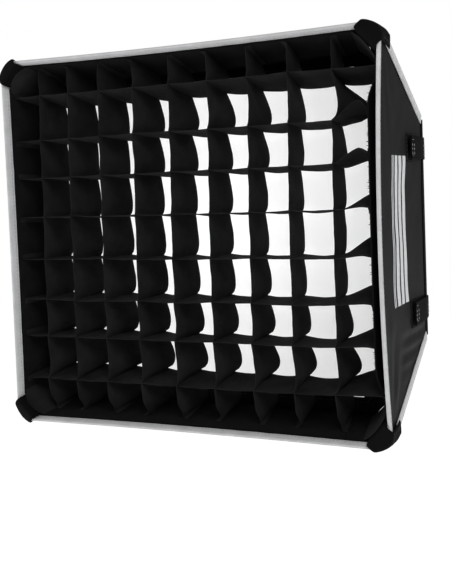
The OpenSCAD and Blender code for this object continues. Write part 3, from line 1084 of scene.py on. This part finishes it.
def diffuser_border():
    """The black border round the white cloth, and the hook tape that lies back along the walls."""
    outside = [drawn_in(x, z) for x, z in border_outline(-BORDER_X, BORDER_X, BORDER_Z, -BORDER_Z)]
    inside = border_outline(-BORDER_X + BORDER_SIDE, BORDER_X - BORDER_SIDE, BORDER_Z - BORDER_TOP,
                            -BORDER_Z + BORDER_BOTTOM)

    def ring(y, share):
        """Points round the border, a share of its width in from its outer edge."""
        return [Vector((xo + (xi - xo) * share, y, zo + (zi - zo) * share))
                for (xo, zo), (xi, zi) in zip(outside, inside)]

    front, back = BORDER_FRONT, BORDER_BACK
    rings = [ring(y, share) for y, share in (
        (front, 0.0), (front, 0.25), (front - 0.0002, 0.5), (front, 0.75), (front, 1.0),
        (back, 1.0), (back, 0.5), (back, 0.0), (front, 0.0))]
    border = swept("border_tape", rings, LOOP_PILE, caps=False)
    put(border, "diffuser", "loop_tape", "diffuser_border")
    line = ring(front - 0.00015, 0.7)
    sew("border_stitches", line, Vector((0, -1, 0)), BLACK_THREAD, "diffuser", "loop_tape")
    for wall in walls.values():
        ends = wall.slope_at(BORDER_LOW[1] + 0.0013, HOOK_LEVEL), wall.slope_at(BORDER_HIGH[1], HOOK_LEVEL)
        band(wall, "diffuser_hook_" + wall.name, "diffuser", "diffuser_border", ends,
             HOOK_LEVEL, HOOK, HOOK_PILE)


# ---- grid


GRID_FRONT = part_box("grid_upright_5")[0].y
GRID_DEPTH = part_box("grid_upright_5")[1].y - GRID_FRONT


def strip_edges(node, axis):
    """Where a CAD strip stands across the grid, at its front edge and at its back edge."""
    low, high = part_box(node)
    return (high[axis], low[axis]) if low[axis] + high[axis] > 0 else (low[axis], high[axis])


COLUMN_EDGES = strip_edges("grid_upright_1", 0), strip_edges(f"grid_upright_{COLUMNS - 1}", 0)
ROW_EDGES = strip_edges("grid_level_1", 2), strip_edges(f"grid_level_{ROWS - 1}", 2)


def even_edges(edges, cells, k):
    """The front and the back edge of strip k, from those of the first strip and of the last."""
    return [first + (last - first) / (cells - 2) * (k - 1) for first, last in zip(*edges)]


def column_x(i, t):
    """Where upright i stands: the whole grid hangs to the left, its front edges least at the sides."""
    front, back = even_edges(COLUMN_EDGES, COLUMNS, i)
    k = i - COLUMNS / 2
    front += -0.014 + 0.0012 * k + 0.0003 * k ** 2 - 0.000125 * k ** 3
    back += -0.0139 + 0.0003 * k
    return front + (back - front) * t + (0.0035 if i == COLUMNS - 1 else 0.0)


# How far each level stands above its CAD place, from the top, and how much more so at its back
LEVEL_HANG = (0.0067, 0.0027, 0.0048, 0.0054, 0.0029, 0.0018, 0.0047, 0.0017)
LEVEL_TWIST = (0.0, 0.004, 0.0012, 0.0, 0.0, 0.0, -0.004, 0.0)


def row_z(j, t):
    """Where level j hangs, counted from the top."""
    front, back = even_edges(ROW_EDGES, ROWS, j)
    return front + (back - front) * t + LEVEL_HANG[j - 1] + LEVEL_TWIST[j - 1] * t


def grid_y(x, t):
    """A strip's place front to back: the grid lies a little deeper towards its two sides."""
    u = x / FRONT_X
    return GRID_FRONT + t * GRID_DEPTH + 0.0045 * max(0.0, -u) ** 1.2 + 0.002 * smooth((u - 0.75) * 4)


def hung(i, j, t):
    """Where upright i and level j cross, at a share t of the depth."""
    x, z = column_x(i, t), row_z(j, t)
    x += 0.003 * z / FRONT_Z + 0.0014 * uneven(i * 1.7, j * 1.3, 1.0 + t)
    z += 0.0014 * uneven(i * 1.3, j * 1.9, 6.0 + t * 1.3)
    return Vector((x, grid_y(x, t), z))


DEPTHS = spread(0, 1, DEPTH_STEPS)
CROSSINGS = {}
for column in range(1, COLUMNS):
    for row in range(1, ROWS):
        CROSSINGS[column, row] = [hung(column, row, t) for t in DEPTHS]


def on_band(wall, a, y):
    """The point of a wall's grid band at a place along the wall and front to back."""
    level = SKIN + STRIP / 2
    return band_point(wall, wall.slope_at(y, level), a, level)


def fin(v, depth):
    """How far an upright's front edge falls back as it comes to a wall; v is 0 there."""
    return depth * (1 - smooth(v / 0.6))


# How far the uprights blow sideways in each row of cells, from the top
BILLOWS = (0.006, 0.009, 0.006, 0.004, 0.004, 0.005, 0.0078, 0.0125, 0.009)


def billow(i, row, v, t):
    """How far an upright blows sideways in one cell; v runs up the cell from 0 to 1."""
    amount = BILLOWS[row] * (1 + 0.3 * uneven(i * 2.1, row * 3.3, 2.0))
    if i < 4 and row < 3:
        amount *= 0.4
    if i >= COLUMNS - 2 and row < 6:
        amount *= 0.6
    if i == COLUMNS - 1:
        amount += {1: 0.026, 7: 0.004}.get(row, 0.0)
    return amount * (0.22 + 0.78 * t ** 1.3) * sin(pi * v ** 0.6)


def sag(i, j, u, t):
    """How far a level hangs between two uprights."""
    amount = -0.0005 - 0.0015 * t * (1 + 0.8 * uneven(i * 1.9, j * 2.7, 7.0))
    return amount * sin(pi * u)


# How far each level's last cell climbs, from the top
RUFFLES = (0.0, 0.017, 0.0135, 0.0165, 0.019, 0.0125, 0.013, 0.0105)


def ruffle(j, u, t):
    """A level's last cell climbs towards the right wall and drops at the tape.

    The upper levels climb most at their front edges, the lower ones at their back edges.
    """
    depth = 1 - 0.35 * smooth(t) if j < 4 else 0.15 + 0.85 * smooth(t)
    return RUFFLES[j - 1] * depth * (smooth(u / 0.8) ** 0.75 - 0.5 * smooth((u - 0.78) / 0.22))


def wrinkle(p, size):
    """Small creases, the same for every point near p."""
    return size * (noise.noise(p * 55) + 0.5 * noise.noise(p * 130))


def flap(wall, end, way):
    """The end of a strip, turned along the wall and sewn to the band."""
    return [[p + wall.across * way * along + wall.inn * lift for p in end]
            for along, lift in ((0.0006, 0.0011), (0.0022, 0.0003), (0.0055, 0.0))]


def strip(kind, number, knots, shape, walls_met):
    """A strip of the grid through its knots, from one wall that it meets to the other.

    shape moves a point p of cell k, at a share v of the cell's length and t of the depth.
    """
    lines = []
    for k, (start, end) in enumerate(zip(knots, knots[1:])):
        for v in spread(0, 1, CELL_STEPS)[(0 if k == 0 else 1):]:
            lines.append([shape(p.lerp(q, v), k, v, t) for p, q, t in zip(start, end, DEPTHS)])
    way = 1 if number % 2 else -1
    lines = flap(walls_met[0], lines[0], way)[::-1] + lines + flap(walls_met[1], lines[-1], way)
    piece = padded_sheet(f"grid_{kind}_cloth_{number}", lines, STRIP, GRID)
    length = lengths([line[DEPTH_STEPS // 2] for line in lines])[-1]
    put(piece, "grid", "grid_cloth", f"grid_{kind}_{number}")


def upright(i):
    """An upright strip, from the bottom wall up to the top wall."""
    top, bottom = walls["top"], walls["bottom"]
    knots = [CROSSINGS[i, row] for row in reversed(range(1, ROWS))]
    low_end = [on_band(bottom, p.x, p.y) for p in knots[0]]
    high_end = [on_band(top, p.x, p.y) for p in knots[-1]]

    def shape(p, k, v, t):
        row = ROWS - 1 - k
        p.x += billow(i, row, v, t) + wrinkle(p, 0.0006) * sin(pi * v)
        if row == 0:
            p += top.back * fin(1 - v, 0.002) * (1 - t)
        if row == ROWS - 1:
            p += bottom.back * fin(v, 0.011) * (1 - t)
        p.y += 0.0012 * uneven(i * 3.1, p.z * 50, 4.0) * (1 - t)
        return p

    knots = [low_end, *knots, high_end]
    strip("upright", i, knots, shape, (bottom, top))


def level(j):
    """A level strip, from the left wall across to the right wall."""
    left, right = walls["left"], walls["right"]
    knots = [CROSSINGS[i, j] for i in range(1, COLUMNS)]
    near_end = [on_band(left, p.z, grid_y(-FRONT_X, t)) for p, t in zip(knots[0], DEPTHS)]
    far_end = [on_band(right, p.z, grid_y(FRONT_X, t)) for p, t in zip(knots[-1], DEPTHS)]

    def shape(p, i, u, t):
        p.z += sag(i, j, u, t) + wrinkle(p, 0.0005) * sin(pi * u)
        if i == COLUMNS - 1:
            p.z += ruffle(j, u, t)
        p.y += 0.001 * uneven(p.x * 50, j * 3.7, 9.0) * (1 - t)
        return p

    knots = [near_end, *knots, far_end]
    strip("level", j, knots, shape, (left, right))


def crossing_stitches(j):
    """Bars of stitches where one level is sewn to every upright."""
    points, faces = [], []
    for i in range(1, COLUMNS):
        for side in (-1, 1):
            line = [p + Vector((side * STRIP * 0.6, 0, 0.0014)) for p in CROSSINGS[i, j][:-1]]
            bar_points, bar_faces = stitched(line, Vector((side, 0, 0)))
            faces += [tuple(len(points) + k for k in face) for face in bar_faces]
            points += bar_points
    put(build(f"grid_stitches_{j}", points, faces, [BLACK_THREAD]), "grid", "grid_cloth")


# ---- the whole object


for wall in walls.values():
    shell_panel(wall)
    binding(wall)
    loop_band(wall)
    grid_band(wall)
for seam in seams:
    grid_corner(seam)
    seam_tape(seam)
    rod_sleeve(seam)
    pocket(seam)
    spring_rod(seam)
for wall in walls.values():
    rear_hem(wall)
for seam in seams:
    hem_eye(seam)
for strap_name, wall_name in STRAPS.items():
    strap(strap_name, walls[wall_name])
print_marks()
diffuser_cloth()
diffuser_border()
for number in range(1, COLUMNS):
    upright(number)
for number in range(1, ROWS):
    level(number)
    crossing_stitches(number)


# ---- camera, light and floor


def camera():
    """The photograph's view: from the front and right, level with the middle of the box."""
    heading, tilt, roll = radians(33.64), radians(4.496), radians(2.22)
    data = bpy.data.cameras.new("camera")
    data.lens, data.sensor_width = 82.0, 36.0
    turned = Matrix.Rotation(heading, 4, "Z") @ Matrix.Rotation(pi / 2 - tilt, 4, "X")
    place = Matrix.Translation((0.758, -1.2905, 0.0505)) @ turned @ Matrix.Rotation(-roll, 4, "Z")
    bpy.context.scene.camera = linked("camera", data, place)


def area_light(name, place, aim, size, power, seen=True):
    """A soft rectangular light at a place, facing its aim."""
    data = bpy.data.lights.new(name, "AREA")
    data.shape, data.size, data.size_y, data.energy = "RECTANGLE", size[0], size[1], power
    facing = (Vector(aim) - Vector(place)).to_track_quat("-Z", "Z").to_matrix().to_4x4()
    linked(name, data, Matrix.Translation(place) @ facing).visible_camera = seen


def world():
    """White all round: full for the camera, softer as a light."""
    made = bpy.data.worlds.new("studio")
    made.use_nodes = True
    nodes, links = made.node_tree.nodes, made.node_tree.links
    background = nodes["Background"]
    background.inputs["Color"].default_value = (1, 1, 1, 1)
    path = nodes.new("ShaderNodeLightPath")
    strength = nodes.new("ShaderNodeMapRange")
    strength.inputs["To Min"].default_value = 0.27
    strength.inputs["To Max"].default_value = 1.0
    links.new(path.outputs["Is Camera Ray"], strength.inputs["Value"])
    links.new(strength.outputs["Result"], background.inputs["Strength"])
    bpy.context.scene.world = made


def floor():
    """A plain pale floor well below the box, as under a stand."""
    mesh = bpy.data.meshes.new("floor")
    side, down = 6.0, -0.75
    mesh.from_pydata([(-side, -side, down), (side, -side, down), (side, side, down), (-side, side, down)],
                     [], [(0, 1, 2, 3)])
    m = Shader("floor_white", (0.95, 0.95, 0.95), 0.8, 0.1)
    m.color(m.noise(3), (0.93, 0.93, 0.93), (0.96, 0.96, 0.96))
    m.set("Emission Color", (1, 1, 1, 1))
    m.set("Emission Strength", 0.75)
    mesh.materials.append(m.material)
    linked("floor", mesh)


camera()
world()
floor()
area_light("key", (1.6, -1.8, 1.6), (0, -0.1, 0), (1.6, 1.2), 40)
area_light("fill", (-1.9, -1.2, 0.5), (0, -0.1, 0), (1.4, 1.4), 17)
area_light("side", (2.2, 0.7, 1.1), (0.15, -0.1, 0), (1.0, 1.0), 16)
area_light("inside", (0, -0.035, 0), (0, -1, 0), (0.25, 0.18), 0.4, seen=False)
bpy.context.scene.view_settings.view_transform = "Standard"
